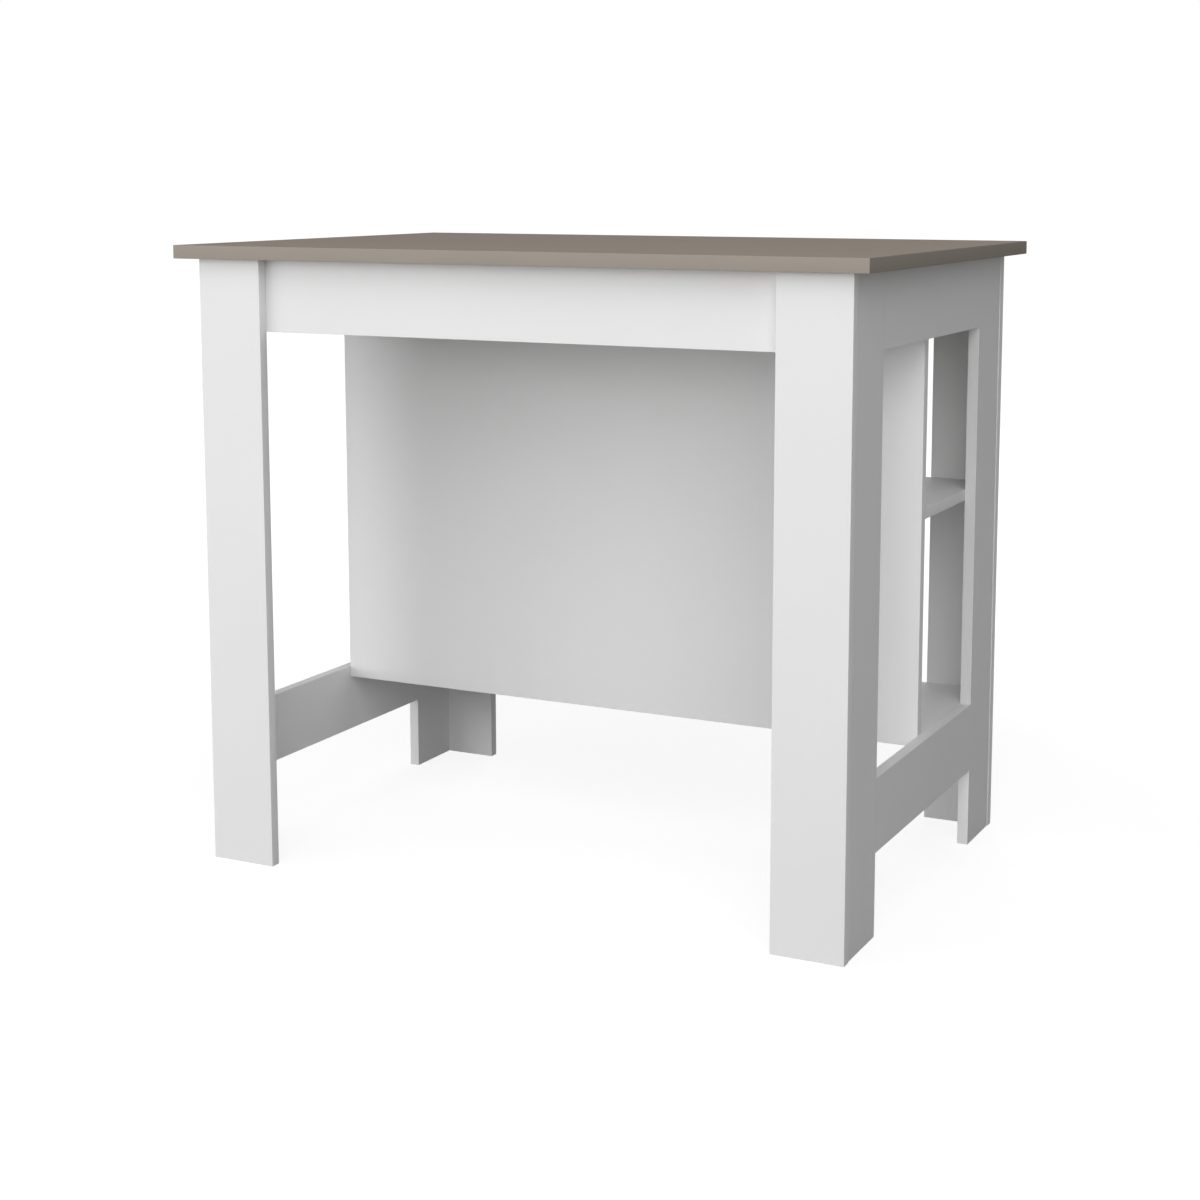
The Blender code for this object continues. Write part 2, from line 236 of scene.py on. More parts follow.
def drill_board(board, low, high):
    """Bore a board for each dowel, bolt, cam and screw whose place reaches into it."""
    cutters = []
    for middle, direction, length, radius in BORES:
        half = [abs(way) * length / 2 + (1 - abs(way)) * radius for way in direction]
        if any(abs(middle[i] - (low[i] + high[i]) / 2) > half[i] + (high[i] - low[i]) / 2
               for i in range(3)):
            continue
        bpy.ops.mesh.primitive_cylinder_add(
            vertices=BORE_FACETS, radius=radius, depth=length, location=middle,
            rotation=direction.to_track_quat("Z", "Y").to_euler())
        cutters.append(bpy.context.object)
    if not cutters:
        return
    for cutter in cutters:
        cutter.select_set(True)
    bpy.context.view_layer.objects.active = cutters[0]
    if len(cutters) > 1:
        bpy.ops.object.join()
    cutter = bpy.context.object
    for material in board.data.materials:
        cutter.data.materials.append(material)
    for face in cutter.data.polygons:
        face.material_index = RAW_SLOT
    bpy.ops.object.select_all(action="DESELECT")
    bpy.context.view_layer.objects.active = board
    board.select_set(True)
    bores = board.modifiers.new("bores", "BOOLEAN")
    bores.operation = "DIFFERENCE"
    bores.solver = "EXACT"
    bores.use_self = True
    bores.object = cutter
    bpy.ops.object.modifier_apply(modifier="bores")
    bpy.data.objects.remove(cutter)


def edit_with(piece, mode, chosen):
    """Enter edit mode with only these points, edges or faces selected."""
    bpy.ops.object.select_all(action="DESELECT")
    bpy.context.view_layer.objects.active = piece
    piece.select_set(True)
    bpy.ops.object.mode_set(mode="EDIT")
    bpy.ops.mesh.select_mode(type=mode)
    bpy.ops.mesh.select_all(action="DESELECT")
    bpy.ops.object.mode_set(mode="OBJECT")
    mesh = piece.data
    elements = {"VERT": mesh.vertices, "EDGE": mesh.edges, "FACE": mesh.polygons}[mode]
    for index in chosen:
        elements[index].select = True
    bpy.ops.object.mode_set(mode="EDIT")


def saw_board(node, raw, skin=WHITE_MELAMINE, band=WHITE_BAND, easing=EDGE_EASING):
    """Model one board in its node's place: saw it, mark its bands, ease its edges, drill it.

    The sides named in raw are left unbanded, and reach across the seam to the board they meet.
    """
    corners = [Vector(corner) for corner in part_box(node)]
    low, high = corners
    sides = {f"{'-+'[sign]}{'xyz'[axis]}": (axis, sign) for axis in range(3) for sign in (0, 1)}
    raw_sides = [sides[name] for name in raw]
    for axis, sign in raw_sides:
        corners[sign][axis] += RAW_REACH * (2 * sign - 1)
    size = high - low
    thin = min(range(3), key=lambda axis: size[axis])
    bpy.ops.object.select_all(action="DESELECT")
    bpy.ops.mesh.primitive_cube_add(size=1, location=(low + high) / 2)
    board = bpy.context.object
    board.name = f"{node}_board"
    board.scale = size
    bpy.ops.object.transform_apply(location=True, rotation=True, scale=True)

    banded = [(axis, sign) for axis, sign in sides.values()
              if axis != thin and (axis, sign) not in raw_sides]
    bpy.ops.object.mode_set(mode="EDIT")
    for axis, sign in banded:
        normal = [float(i == axis) for i in range(3)]
        seam = Vector(corners[sign])
        seam[axis] += BAND_THICKNESS * (1 - 2 * sign)
        bpy.ops.mesh.select_all(action="SELECT")
        bpy.ops.mesh.bisect(plane_co=seam, plane_no=normal)
    bpy.ops.object.mode_set(mode="OBJECT")

    def sides_at(point):
        """The sides of the board that a point lies on."""
        return {(axis, sign) for axis, sign in sides.values()
                if abs(point[axis] - corners[sign][axis]) < TOUCHING}

    eased = []
    for edge in board.data.edges:
        start, end = (board.data.vertices[index].co for index in edge.vertices)
        meeting = sides_at(start) & sides_at(end)
        if len(meeting) == 2 and meeting.isdisjoint(raw_sides):
            eased.append(edge.index)
    edit_with(board, "EDGE", eased)
    bpy.ops.mesh.bevel(offset=easing, segments=EASING_STEPS, affect="EDGES")
    bpy.ops.object.mode_set(mode="OBJECT")

    for material in (skin, band, RAW_CHIPBOARD):
        board.data.materials.append(material)
    for face in board.data.polygons:
        middle = face.center
        is_raw = any(abs(face.normal[side[0]]) > SQUARE_ON and side in sides_at(middle)
                     for side in raw_sides)
        is_band = any(abs(middle[axis] - corners[sign][axis]) < BAND_THICKNESS
                      for axis, sign in banded)
        face.material_index = RAW_SLOT if is_raw else BAND_SLOT if is_band else SKIN_SLOT
    drill_board(board, low, high)
    bpy.ops.object.shade_smooth_by_angle(angle=SMOOTH_ANGLE)
    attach(board, "root")
    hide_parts(node)
    return board


for leg_node in LEG_NODES:
    hidden_edge = {"front": "-y", "back": "+y"}[leg_node.split("_")[0]]
    saw_board(leg_node, ["+z"] if leg_node.endswith("face") else ["+z", hidden_edge])


# Side rails
# Two strips join the leg sides of each end into an open frame, one under the worktop and one at
# shin height. They are the same banded melamine board, and their raw ends butt against the legs.
for side in ("left", "right"):
    saw_board(f"{side}_top_rail", ["-y", "+y", "+z"])
    saw_board(f"{side}_lower_rail", ["-y", "+y"])


# Aprons
# One rail of the same board runs behind the leg faces at the front, and one at the back. They keep
# the long sides straight and carry the worktop, so their raw top edges are out of sight.
for apron in ("front_apron", "rear_apron"):
    saw_board(apron, ["-x", "+x", "+z"])


# Divider panel
# A full-width sheet of melamine board closes the knee space from the shelves. It hangs between the
# top rails on dowels, and its lower edge covers the front of the bottom shelf.
saw_board("divider_panel", ["+z"])


# Shelves
# Two more melamine boards, dowelled to the back of the divider. The bottom shelf lies between the
# lower rails, flush with their tops. The mid shelf is pegged to the back legs, and its banded ends
# show in the side frames.
saw_board("bottom_shelf", ["-x", "+x", "-y"])
saw_board("mid_shelf", ["-y"])


# Worktop
# One 19 mm board faced with a matt taupe laminate, and banded all round in nearly the same colour.
# It lies on the legs, rails and aprons, and screws through the corner brackets hold it.
TAUPE = (0.336, 0.287, 0.246, 1.0)
TAUPE_DEEP = (0.327, 0.279, 0.239, 1.0)
TAUPE_BAND = (0.330, 0.294, 0.257, 1.0)
TAUPE_BAND_DEEP = (0.320, 0.285, 0.249, 1.0)
TOP_EASING = 0.0007
TAUPE_LAMINATE = pressed_board("taupe_laminate", TAUPE, TAUPE_DEEP,
                               roughness=(0.58, 0.68), emboss=0.35, shine=0.005)
TAUPE_EDGE = pressed_board("taupe_band", TAUPE_BAND, TAUPE_BAND_DEEP,
                           roughness=(0.56, 0.64), emboss=0.12, shine=0.01)
worktop = saw_board("worktop", [], TAUPE_LAMINATE, TAUPE_EDGE, TOP_EASING)


# Dowels
# Beech pegs, 8 by 30 mm, glued into both boards of a joint and hidden there. They are turned from
# straight-grained wood, fluted along their length for the glue, and chamfered at both ends.
DOWEL_FLUTES = 16
STEPS_PER_FLUTE = 4
FLUTE_FLOOR = 0.93
DOWEL_CHAMFER = 0.001
DOWEL_SMOOTH_ANGLE = math.radians(20)
BEECH_PALE = (0.62, 0.43, 0.26, 1.0)
BEECH_DEEP = (0.50, 0.32, 0.175, 1.0)
GRAIN_ALONG = 30.0
GRAIN_ACROSS = 1400.0
GRAIN_RELIEF = 0.3
GRAIN_DEPTH = 0.0002
AXIS_TURNS = {0: (0, math.pi / 2, 0), 1: (math.pi / 2, 0, 0), 2: (0, 0, 0)}


def build_straight_grain():
    """Straight wood grain with short rays, along whichever axis its vector is drawn out."""
    group, ins, outs = new_group("straight_grain", {"Vector": ("Vector", None)},
                                 {"Tone": "Float", "Height": "Float"})
    grain = add_node(group, "ShaderNodeTexNoise", {
        "Vector": ins.outputs["Vector"], "Scale": 1.0, "Detail": 3.0, "Roughness": 0.6})
    rays = add_node(group, "ShaderNodeTexVoronoi", {"Vector": ins.outputs["Vector"], "Scale": 1.3})
    ray_mask = add_node(group, "ShaderNodeMapRange", {
        "Value": rays.outputs["Distance"], "From Min": 0.05, "From Max": 0.35,
        "To Min": 0.35, "To Max": 0.0})
    tone = add_node(group, "ShaderNodeMath", {
        0: grain.outputs["Fac"], 1: ray_mask.outputs["Result"]}, operation="ADD", use_clamp=True)
    group.links.new(tone.outputs[0], outs.inputs["Tone"])
    group.links.new(grain.outputs["Fac"], outs.inputs["Height"])
    return group


STRAIGHT_GRAIN = build_straight_grain()


def build_beech(axis):
    """Turned beech with its grain along one axis."""
    material, tree, shader, place = new_material(f"beech_along_{'xyz'[axis]}", Roughness=0.6)
    drawn = add_node(tree, "ShaderNodeMapping", {
        "Vector": place, "Scale": [GRAIN_ALONG if i == axis else GRAIN_ACROSS for i in range(3)]})
    grain = add_node(tree, "ShaderNodeGroup", node_tree=STRAIGHT_GRAIN)
    tree.links.new(drawn.outputs["Vector"], grain.inputs["Vector"])
    lay_colour(tree, shader, grain.outputs["Tone"], BEECH_PALE, BEECH_DEEP)
    raise_relief(tree, shader, grain.outputs["Height"], GRAIN_RELIEF, GRAIN_DEPTH)
    return material


def set_in_place(master, name, place, turn, node=None):
    """Copy a modelled piece, and set the copy in its place with its own mesh."""
    bpy.ops.object.select_all(action="DESELECT")
    bpy.context.view_layer.objects.active = master
    master.select_set(True)
    bpy.ops.object.duplicate()
    copy = bpy.context.object
    copy.name = name
    copy.location = place
    copy.rotation_euler = turn
    bpy.ops.object.transform_apply(location=True, rotation=True, scale=True)
    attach(copy, "root")
    if node:
        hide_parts(node)
    return copy


dowel_nodes = [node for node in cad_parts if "_dowel" in node]
dowel_low, dowel_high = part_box(dowel_nodes[0])
dowel_length = max(dowel_high - dowel_low)
dowel_radius = min(dowel_high - dowel_low) / 2
bpy.ops.object.select_all(action="DESELECT")
bpy.ops.mesh.primitive_cylinder_add(
    vertices=DOWEL_FLUTES * STEPS_PER_FLUTE, radius=dowel_radius,
    depth=dowel_length - 2 * DOWEL_CHAMFER)
dowel = bpy.context.object
dowel_ends = [face.index for face in dowel.data.polygons if abs(face.normal.z) > SQUARE_ON]
edit_with(dowel, "FACE", dowel_ends)
bpy.ops.mesh.inset(thickness=DOWEL_CHAMFER, depth=DOWEL_CHAMFER, use_individual=True)
bpy.ops.object.mode_set(mode="OBJECT")
flute_angle = 2 * math.pi / DOWEL_FLUTES
half_step = flute_angle / STEPS_PER_FLUTE / 2
flute_points = [
    point.index for point in dowel.data.vertices
    if point.co.xy.length > dowel_radius - DOWEL_CHAMFER / 2
    and abs(math.remainder(math.atan2(point.co.y, point.co.x), flute_angle)) < half_step]
edit_with(dowel, "VERT", flute_points)
bpy.ops.transform.resize(value=(FLUTE_FLOOR, FLUTE_FLOOR, 1), center_override=(0, 0, 0))
bpy.ops.object.mode_set(mode="OBJECT")
bpy.ops.object.shade_smooth_by_angle(angle=DOWEL_SMOOTH_ANGLE)
BEECH = {axis: build_beech(axis) for axis in (0, 1)}
for node in dowel_nodes:
    low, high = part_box(node)
    axis = max(range(3), key=lambda i: high[i] - low[i])
    peg = set_in_place(dowel, f"{node}_peg", (low + high) / 2, AXIS_TURNS[axis], node)
    peg.data.materials.append(BEECH[axis])
bpy.data.objects.remove(dowel)


# Cam bolts
# Zinc-plated steel bolts, screwed into the ends of the lower rails. The smooth shank runs through the
# leg strip's edge, and the cam grips the neck and head. They are cold-headed, with a rolled thread.
BOLT_FACETS = 24
BOLT_STEPS = [(0.0020, 0.0015), (0.0020, 0.0081), (0.0035, 0.0081), (0.0035, 0.0236), (0.0033, 0.0240)]
BOLT_HEAD_RADIUS = 0.0032
BOLT_HEAD_LENGTH = 0.0030
BOLT_ROOT_RADIUS = 0.0023
BOLT_CREST_RADIUS = 0.0030
BOLT_THREAD_PITCH = 0.0018
BOLT_THREAD_TURNS = 6
BOLT_TIP = 0.0350
ZINC = (0.56, 0.57, 0.58, 1.0)
ZINC_DEEP = (0.44, 0.455, 0.475, 1.0)
PITS_PER_METRE = 3000.0
PIT_DEPTH = 0.0001


def build_zinc_skin():
    """Zinc's faint patches and fine pits, as a tone, a roughness and a height."""
    group, ins, outs = new_group(
        "zinc_skin",
        {"Vector": ("Vector", None), "Patches per metre": ("Float", 350.0),
         "Roughness low": ("Float", 0.25), "Roughness high": ("Float", 0.45)},
        {"Tone": "Float", "Roughness": "Float", "Height": "Float"})
    patch = add_node(group, "ShaderNodeTexVoronoi", {
        "Vector": ins.outputs["Vector"], "Scale": ins.outputs["Patches per metre"]})
    pits = add_node(group, "ShaderNodeTexNoise", {
        "Vector": ins.outputs["Vector"], "Scale": PITS_PER_METRE, "Detail": 2.0})
    roughness = add_node(group, "ShaderNodeMapRange", {
        "Value": patch.outputs["Color"], "To Min": ins.outputs["Roughness low"],
        "To Max": ins.outputs["Roughness high"]})
    group.links.new(patch.outputs["Color"], outs.inputs["Tone"])
    group.links.new(roughness.outputs["Result"], outs.inputs["Roughness"])
    group.links.new(pits.outputs["Fac"], outs.inputs["Height"])
    return group


ZINC_SKIN = build_zinc_skin()


def build_zinc(name, roughness, pitting):
    """Bare zinc: plated on steel, or cast."""
    material, tree, shader, place = new_material(name, Metallic=1.0)
    smoothest, roughest = roughness
    skin = add_node(tree, "ShaderNodeGroup", node_tree=ZINC_SKIN)
    tree.links.new(place, skin.inputs["Vector"])
    skin.inputs["Roughness low"].default_value = smoothest
    skin.inputs["Roughness high"].default_value = roughest
    lay_colour(tree, shader, skin.outputs["Tone"], ZINC, ZINC_DEEP)
    raise_relief(tree, shader, skin.outputs["Height"], pitting, PIT_DEPTH)
    tree.links.new(skin.outputs["Roughness"], shader.inputs["Roughness"])
    return material


def draw_out(piece, end, steps):
    """Draw a round piece out from its top or bottom face, through (radius, height) steps."""
    face = max(piece.data.polygons, key=lambda polygon: end * polygon.center.z)
    height = face.center.z
    radius = max(piece.data.vertices[index].co.xy.length for index in face.vertices)
    edit_with(piece, "FACE", [face.index])
    for next_radius, next_height in steps:
        bpy.ops.mesh.extrude_region_move(TRANSFORM_OT_translate={"value": (0, 0, next_height - height)})
        scale = next_radius / radius
        bpy.ops.transform.resize(value=(scale, scale, 1), center_override=(0, 0, next_height))
        radius, height = next_radius, next_height
    bpy.ops.object.mode_set(mode="OBJECT")


def thread_steps(root, crest, start, pitch, turns):
    """The root and crest rings of a thread, from its start along +Z or, with a minus pitch, -Z."""
    steps = []
    for turn in range(turns):
        steps.append((root, start + pitch * turn))
        steps.append((crest, start + pitch * (turn + 0.5)))
    return steps + [(root, start + pitch * turns)]


bpy.ops.object.select_all(action="DESELECT")
bpy.ops.mesh.primitive_cylinder_add(
    vertices=BOLT_FACETS, radius=BOLT_HEAD_RADIUS, depth=BOLT_HEAD_LENGTH)
bolt = bpy.context.object
bolt_thread = thread_steps(BOLT_ROOT_RADIUS, BOLT_CREST_RADIUS, BOLT_STEPS[-1][1], BOLT_THREAD_PITCH,
                           BOLT_THREAD_TURNS)
draw_out(bolt, 1, BOLT_STEPS + bolt_thread[1:] + [(BOLT_ROOT_RADIUS, BOLT_TIP)])
bpy.ops.object.shade_smooth_by_angle(angle=SMOOTH_ANGLE)
ZINC_PLATE = build_zinc("zinc_plate", roughness=(0.22, 0.38), pitting=0.1)
bolt.data.materials.append(ZINC_PLATE)
bolt_nodes = [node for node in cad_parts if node.endswith("_cam_bolt")]
for node in bolt_nodes:
    low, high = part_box(node)
    front = "_rail_front_" in node
    middle = (low + high) / 2
    middle.y = low.y + BOLT_HEAD_LENGTH / 2 if front else high.y - BOLT_HEAD_LENGTH / 2
    turn = (-math.pi / 2, 0, 0) if front else (math.pi / 2, 0, 0)
    set_in_place(bolt, f"{node}_steel", middle, turn, node)
bpy.data.objects.remove(bolt)


# Cam locks
# Die-cast zinc cams, 15 mm across, let into bores in the leg strips' inner faces. Half a turn with a
# cross-head driver grips the bolt and pulls the lower rail tight. A notch shows where the bolt enters.
CAM_FACETS = 64
CAM_RIM = 0.0005
CAM_BOLT_DEPTH = 0.008
CAM_NECK_HALF = 0.0023
CAM_HEAD_HALF = 0.0035
CAM_HEAD_REACH = 0.0018
CAM_CROSS_LENGTH = 0.0070
CAM_CROSS_WIDTH = 0.0012
CAM_CROSS_DEPTH = 0.0024
CAM_NOTCH = 0.0012
CAM_NOTCH_INSET = 1.6 * CAM_NOTCH
CAM_NOTCH_CORNERS = 3
PAST_RIM = 1.3


def cut_away(piece, tools):
    """Cut the shapes of several tools out of a piece, and put the tools away."""
    bpy.ops.object.select_all(action="DESELECT")
    bpy.context.view_layer.objects.active = piece
    piece.select_set(True)
    for tool in tools:
        cut = piece.modifiers.new("cut", "BOOLEAN")
        cut.operation = "DIFFERENCE"
        cut.solver = "EXACT"
        cut.object = tool
        bpy.ops.object.modifier_apply(modifier="cut")
        bpy.data.objects.remove(tool)


def block_tool(low, high):
    """A box-shaped cutter between two corners."""
    low, high = Vector(low), Vector(high)
    bpy.ops.mesh.primitive_cube_add(size=1, location=(low + high) / 2)
    tool = bpy.context.object
    tool.scale = high - low
    bpy.ops.object.select_all(action="DESELECT")
    tool.select_set(True)
    bpy.ops.object.transform_apply(location=True, rotation=True, scale=True)
    return tool


def cross_tools(length, width, floor, top):
    """Two crossed blocks that cut the recess for a cross-head driver."""
    return [block_tool((-half_x, -half_y, floor), (half_x, half_y, top))
            for half_x, half_y in ((length / 2, width / 2), (width / 2, length / 2))]


cam_nodes = [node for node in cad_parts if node.endswith("_cam_lock")]
cam_low, cam_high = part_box(cam_nodes[0])
cam_radius = (cam_high.y - cam_low.y) / 2
cam_depth = cam_high.x - cam_low.x
bpy.ops.object.select_all(action="DESELECT")
bpy.ops.mesh.primitive_cylinder_add(
    vertices=CAM_FACETS, radius=cam_radius, depth=cam_depth, location=(0, 0, -cam_depth / 2))
cam = bpy.context.object
bpy.ops.object.transform_apply(location=True, rotation=True, scale=True)
cam_rims = []
for edge in cam.data.edges:
    start, end = (cam.data.vertices[index].co for index in edge.vertices)
    if abs(start.z - end.z) < TOUCHING:
        cam_rims.append(edge.index)
edit_with(cam, "EDGE", cam_rims)
bpy.ops.mesh.bevel(offset=CAM_RIM, segments=EASING_STEPS, affect="EDGES")
bpy.ops.object.mode_set(mode="OBJECT")
past = cam_radius * PAST_RIM
cam_tools = cross_tools(CAM_CROSS_LENGTH, CAM_CROSS_WIDTH, -CAM_CROSS_DEPTH, CAM_CROSS_DEPTH)
cam_tools.append(block_tool((-CAM_NECK_HALF, 0, -CAM_BOLT_DEPTH - CAM_NECK_HALF),
                            (CAM_NECK_HALF, past, -CAM_BOLT_DEPTH + CAM_NECK_HALF)))
cam_tools.append(block_tool((-CAM_HEAD_HALF, -past, -CAM_BOLT_DEPTH - CAM_HEAD_HALF),
                            (CAM_HEAD_HALF, CAM_HEAD_REACH, -CAM_BOLT_DEPTH + CAM_HEAD_HALF)))
bpy.ops.mesh.primitive_cylinder_add(
    vertices=CAM_NOTCH_CORNERS, radius=CAM_NOTCH, depth=CAM_NOTCH,
    location=(0, cam_radius - CAM_NOTCH_INSET, 0))
cam_tools.append(bpy.context.object)
cut_away(cam, cam_tools)
bpy.ops.object.shade_smooth_by_angle(angle=SMOOTH_ANGLE)
cam.data.materials.append(build_zinc("cast_zinc", roughness=(0.36, 0.55), pitting=0.35))
for node in cam_nodes:
    low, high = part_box(node)
    face_point = (low + high) / 2
    left = node.startswith("left")
    face_point.x = high.x if left else low.x
    outward = Vector((1 if left else -1, 0, 0))
    along = Vector((0, 1 if "_rail_front_" in node else -1, 0))
    turn = Matrix((along.cross(outward), along, outward)).transposed().to_euler()
    set_in_place(cam, f"{node}_casting", face_point, turn, node)
bpy.data.objects.remove(cam)


# Corner brackets
# Three-way angles of 2 mm zinc-plated steel, one in each top corner. Each is pressed from a clipped
# blank, so one wing lies on the apron, one on the leg strip and one under the worktop.
BRACKET_CLIP = 0.014
BRACKET_CLIP_ROUND = 0.003
BRACKET_CLIP_STEPS = 4
BRACKET_SHEET = 0.002
BRACKET_BEND = 0.0006
BRACKET_BEND_ANGLE = math.radians(60)
BRACKET_HOLE_RADIUS = 0.00225
BRACKET_HOLE_CUT = 4 * BRACKET_SHEET

bracket_nodes = [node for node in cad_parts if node.endswith("_corner_bracket")]
bracket_low, bracket_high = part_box(bracket_nodes[0])
reach = bracket_high.x - bracket_low.x
bpy.ops.object.select_all(action="DESELECT")
bpy.ops.mesh.primitive_cube_add(size=reach, location=(reach / 2, reach / 2, -reach / 2))
bracket = bpy.context.object
bpy.ops.object.transform_apply(location=True, rotation=True, scale=True)
inner_way = Vector((1, 1, -1))
edit_with(bracket, "FACE", [f.index for f in bracket.data.polygons if f.normal.dot(inner_way) > 0])
bpy.ops.mesh.delete(type="ONLY_FACE")
bpy.ops.mesh.select_all(action="SELECT")
bpy.ops.mesh.delete_loose()
bpy.ops.object.mode_set(mode="OBJECT")
tips = [v.index for v in bracket.data.vertices if sum(abs(c) > reach / 2 for c in v.co) == 2]
edit_with(bracket, "VERT", tips)
bpy.ops.mesh.bevel(offset=BRACKET_CLIP, affect="VERTICES", segments=1)
bpy.ops.mesh.bevel(offset=BRACKET_CLIP_ROUND, affect="VERTICES", segments=BRACKET_CLIP_STEPS)
bpy.ops.object.mode_set(mode="OBJECT")
sheet = bracket.modifiers.new("sheet", "SOLIDIFY")
sheet.thickness = BRACKET_SHEET
sheet.offset = -1
sheet.use_even_offset = True
bpy.ops.object.modifier_apply(modifier="sheet")
hole_tools = []
for axis in (2, 1, 0):
    spot = Vector((SCREW_REACH, SCREW_REACH, -SCREW_REACH))
    spot[axis] = 0
    bpy.ops.mesh.primitive_cylinder_add(
        vertices=BORE_FACETS, radius=BRACKET_HOLE_RADIUS, depth=BRACKET_HOLE_CUT,
        location=spot, rotation=AXIS_TURNS[axis])
    hole_tools.append(bpy.context.object)
cut_away(bracket, hole_tools)
bends = bracket.modifiers.new("bends", "BEVEL")
bends.width = BRACKET_BEND
bends.segments = EASING_STEPS
bends.limit_method = "ANGLE"
bends.angle_limit = BRACKET_BEND_ANGLE
bpy.ops.object.modifier_apply(modifier="bends")
bpy.ops.object.shade_smooth_by_angle(angle=SMOOTH_ANGLE)
bracket.data.materials.append(ZINC_PLATE)
for node in bracket_nodes:
    corner, turn = bracket_place(node)
    set_in_place(bracket, f"{node}_pressing", corner, (0, 0, turn), node)
bpy.data.objects.remove(bracket)


# Bracket screws
# Pan-head steel screws with a cross recess, three to a bracket, driven into the apron, the leg strip
# and the underside of the worktop. They are zinc plated, with a coarse thread and a sharp point.
SCREW_HEAD_STEPS = [(0.0037, 0.0017), (0.0028, 0.0022), (0.0014, 0.0025)]
SCREW_HEAD_RADIUS = 0.0040
SCREW_HEAD_BASE = 0.0010
SCREW_FACETS = 32
SCREW_ROOT_RADIUS = 0.0013
SCREW_POINT_RADIUS = 0.0002
SCREW_THREAD_PITCH = -0.0014
SCREW_THREAD_START = -0.0025
SCREW_THREAD_TURNS = 6
SCREW_CROSS_LENGTH = 0.0042
SCREW_CROSS_WIDTH = 0.0009
SCREW_CROSS_FLOOR = 0.0009
SCREW_CROSS_TOP = 0.0050

bpy.ops.object.select_all(action="DESELECT")
bpy.ops.mesh.primitive_cylinder_add(
    vertices=SCREW_FACETS, radius=SCREW_HEAD_RADIUS, depth=SCREW_HEAD_BASE,
    location=(0, 0, SCREW_HEAD_BASE / 2))
screw = bpy.context.object
bpy.ops.object.transform_apply(location=True, rotation=True, scale=True)
draw_out(screw, 1, SCREW_HEAD_STEPS)
screw_shank = [(SCREW_RADIUS, 0), (SCREW_RADIUS, SCREW_THREAD_START)]
screw_thread = thread_steps(SCREW_ROOT_RADIUS, SCREW_RADIUS, SCREW_THREAD_START, SCREW_THREAD_PITCH,
                            SCREW_THREAD_TURNS)
draw_out(screw, -1, screw_shank + screw_thread + [(SCREW_POINT_RADIUS, -SCREW_LENGTH)])
cut_away(screw, cross_tools(SCREW_CROSS_LENGTH, SCREW_CROSS_WIDTH, SCREW_CROSS_FLOOR, SCREW_CROSS_TOP))
bpy.ops.object.shade_smooth_by_angle(angle=SMOOTH_ANGLE)
screw.data.materials.append(ZINC_PLATE)
for node in bracket_nodes:
    for letter, (point, into) in zip("xyz", screw_spots(node)):
        seat = point - into * BRACKET_SHEET
        turn = (-into).to_track_quat("Z", "Y").to_euler()
        set_in_place(screw, f"{node}_screw_{letter}", seat, turn)
bpy.data.objects.remove(screw)


# Studio
# A plain pale floor that runs out to white, soft lamps and an even sky. The floor shows the island's
# soft shadow. Seen from below it is clear, so the underside can be looked at.
FLOOR_SIZE = 80
FLOOR_GREY = (0.35, 0.35, 0.35, 1.0)
FLOOR_SHADOW_TINT = (0.25, 0.25, 0.25, 1.0)
FLOOR_LIFT = 0.84
FLOOR_FADE_START = 0.8
FLOOR_FADE_END = 1.8
PLAIN_WHITE = (1.0, 1.0, 1.0, 1.0)
SKY_LEVEL = 0.135
LAMP_AIM_HEIGHT = 0.5


def seen_directly(tree):
    """1 for rays that look at a surface, and 0 for rays that carry light from it."""
    path = add_node(tree, "ShaderNodeLightPath")
    looks = add_node(tree, "ShaderNodeMath", {
        0: path.outputs["Is Camera Ray"], 1: path.outputs["Is Glossy Ray"]}, operation="MAXIMUM")
    return add_node(tree, "ShaderNodeMath", {
        0: looks.outputs[0], 1: path.outputs["Is Transmission Ray"]}, operation="MAXIMUM").outputs[0]


bpy.ops.mesh.primitive_plane_add(size=FLOOR_SIZE)
floor = bpy.context.object
floor.name = "studio_floor"
floor_material = bpy.data.materials.new("studio_floor")
floor_material.use_nodes = True
floor.data.materials.append(floor_material)
tree = floor_material.node_tree
tree.nodes.remove(tree.nodes["Principled BSDF"])
lit_floor = add_node(tree, "ShaderNodeBsdfDiffuse", {"Color": FLOOR_GREY})
shadow_floor = add_node(tree, "ShaderNodeBsdfDiffuse", {"Color": FLOOR_SHADOW_TINT})
floor_place = add_node(tree, "ShaderNodeTexCoord")
floor_radius = add_node(tree, "ShaderNodeVectorMath", {
    0: floor_place.outputs["Object"]}, operation="LENGTH")
lift = add_node(tree, "ShaderNodeMapRange", {
    "Value": floor_radius.outputs["Value"], "From Min": FLOOR_FADE_START, "From Max": FLOOR_FADE_END,
    "To Min": FLOOR_LIFT, "To Max": 1.0}, interpolation_type="SMOOTHSTEP")
white_floor = add_node(tree, "ShaderNodeEmission", {
    "Color": PLAIN_WHITE, "Strength": lift.outputs["Result"]})
shown_floor = add_node(tree, "ShaderNodeAddShader", {
    0: shadow_floor.outputs[0], 1: white_floor.outputs[0]})
above = add_node(tree, "ShaderNodeMixShader", {
    0: seen_directly(tree), 1: lit_floor.outputs[0], 2: shown_floor.outputs[0]})
clear = add_node(tree, "ShaderNodeBsdfTransparent")
underneath = add_node(tree, "ShaderNodeNewGeometry")
whole = add_node(tree, "ShaderNodeMixShader", {
    0: underneath.outputs["Backfacing"], 1: above.outputs[0], 2: clear.outputs[0]})
tree.links.new(whole.outputs[0], tree.nodes["Material Output"].inputs["Surface"])

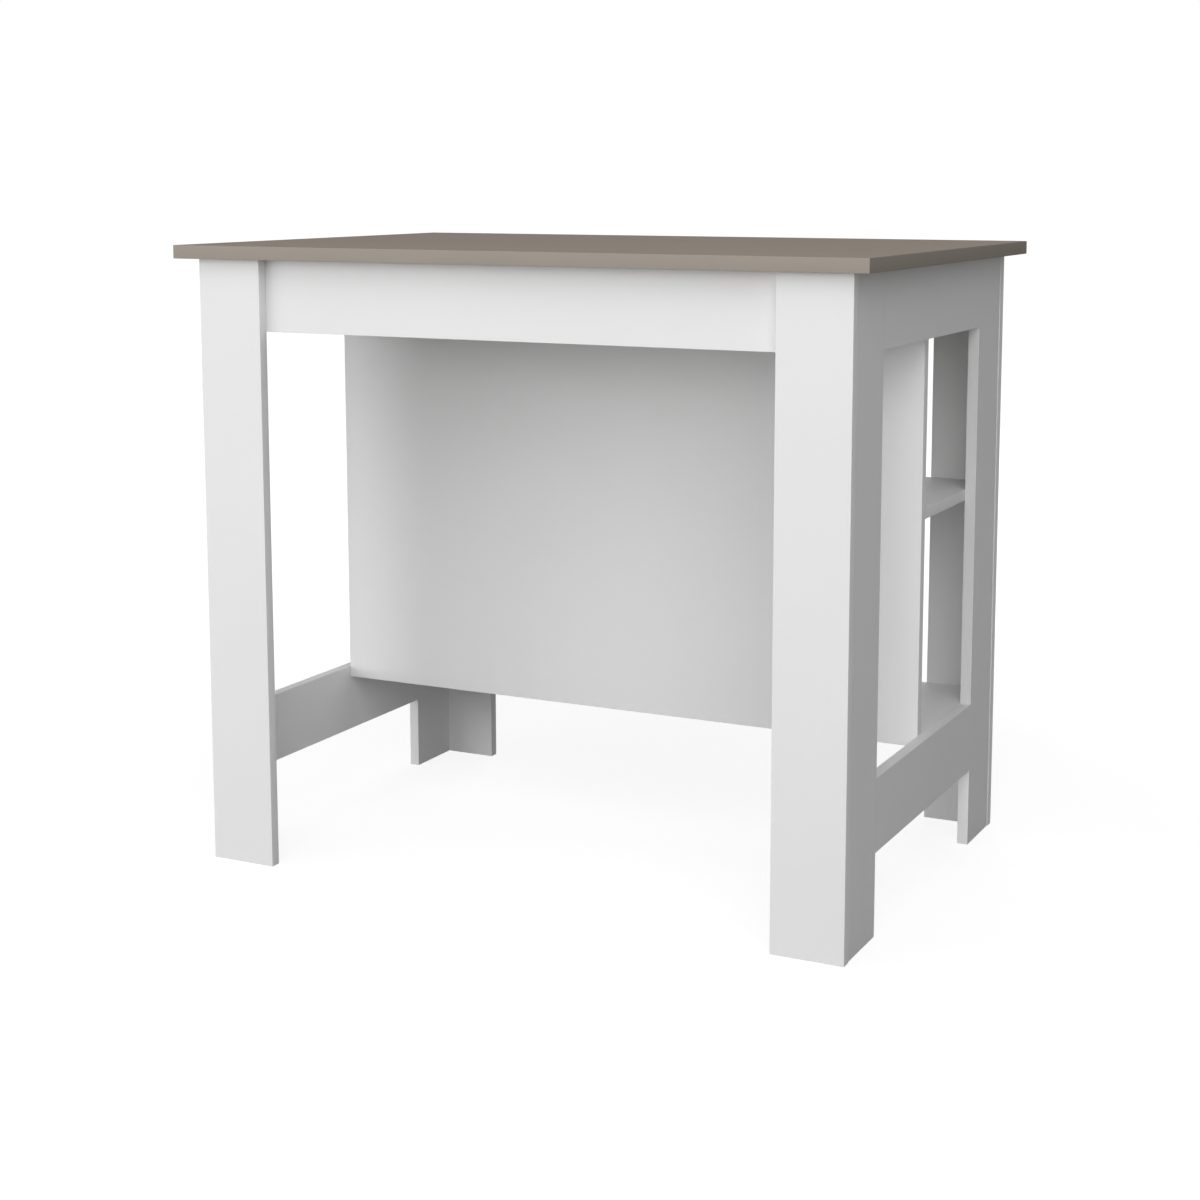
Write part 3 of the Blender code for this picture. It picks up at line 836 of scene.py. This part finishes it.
scene = bpy.context.scene
scene.view_settings.view_transform = "Standard"
world = bpy.data.worlds.new("studio_sky")
scene.world = world
world.use_nodes = True
sky = world.node_tree.nodes["Background"]
sky.inputs["Color"].default_value = PLAIN_WHITE
sky_level = add_node(world.node_tree, "ShaderNodeMapRange", {
    "Value": seen_directly(world.node_tree), "To Min": SKY_LEVEL, "To Max": 1.0})
world.node_tree.links.new(sky_level.outputs["Result"], sky.inputs["Strength"])


def softbox(name, azimuth, height, distance, width, drop, watts, mirrored=True):
    """A soft rectangular lamp on a circle round the island, turned towards its middle."""
    angle = math.radians(azimuth)
    place = Vector((distance * math.sin(angle), -distance * math.cos(angle), height))
    aim = Vector((0, 0, min(LAMP_AIM_HEIGHT, height)))
    bpy.ops.object.light_add(type="AREA", location=place)
    lamp = bpy.context.object
    lamp.name = name
    lamp.data.shape = "RECTANGLE"
    lamp.data.size = width
    lamp.data.size_y = drop
    lamp.data.energy = watts
    lamp.rotation_euler = (aim - place).to_track_quat("-Z", "Y").to_euler()
    lamp.visible_camera = False
    lamp.visible_glossy = mirrored


softbox("right_softbox", azimuth=26, height=3.00, distance=4.33, width=4.0, drop=5.0, watts=165)
softbox("left_softbox", azimuth=-39, height=1.02, distance=4.97, width=5.0, drop=2.2, watts=122)
softbox("rear_softbox", azimuth=190, height=2.21, distance=4.70, width=2.6, drop=2.4, watts=82,
        mirrored=False)
softbox("overhead_softbox", azimuth=0, height=4.44, distance=0.69, width=3.0, drop=3.0, watts=20,
        mirrored=False)


# Camera
# The photograph's own viewpoint: a long lens before the right front corner, a little above the
# worktop. It looks slightly down, and a lens shift keeps the uprights nearly upright.
CAMERA_PLACE = (1.3497, -2.7229, 0.9999)
CAMERA_TILT = math.radians(82.147)
CAMERA_TURN = math.radians(26.076)
LENS = 62.26
SENSOR = 36.0
SHIFT_ACROSS = -0.0191
SHIFT_UP = -0.1167
bpy.ops.object.camera_add(location=CAMERA_PLACE, rotation=(CAMERA_TILT, 0, CAMERA_TURN))
camera = bpy.context.object
camera.data.lens = LENS
camera.data.sensor_width = SENSOR
camera.data.shift_x = SHIFT_ACROSS
camera.data.shift_y = SHIFT_UP
scene.camera = camera
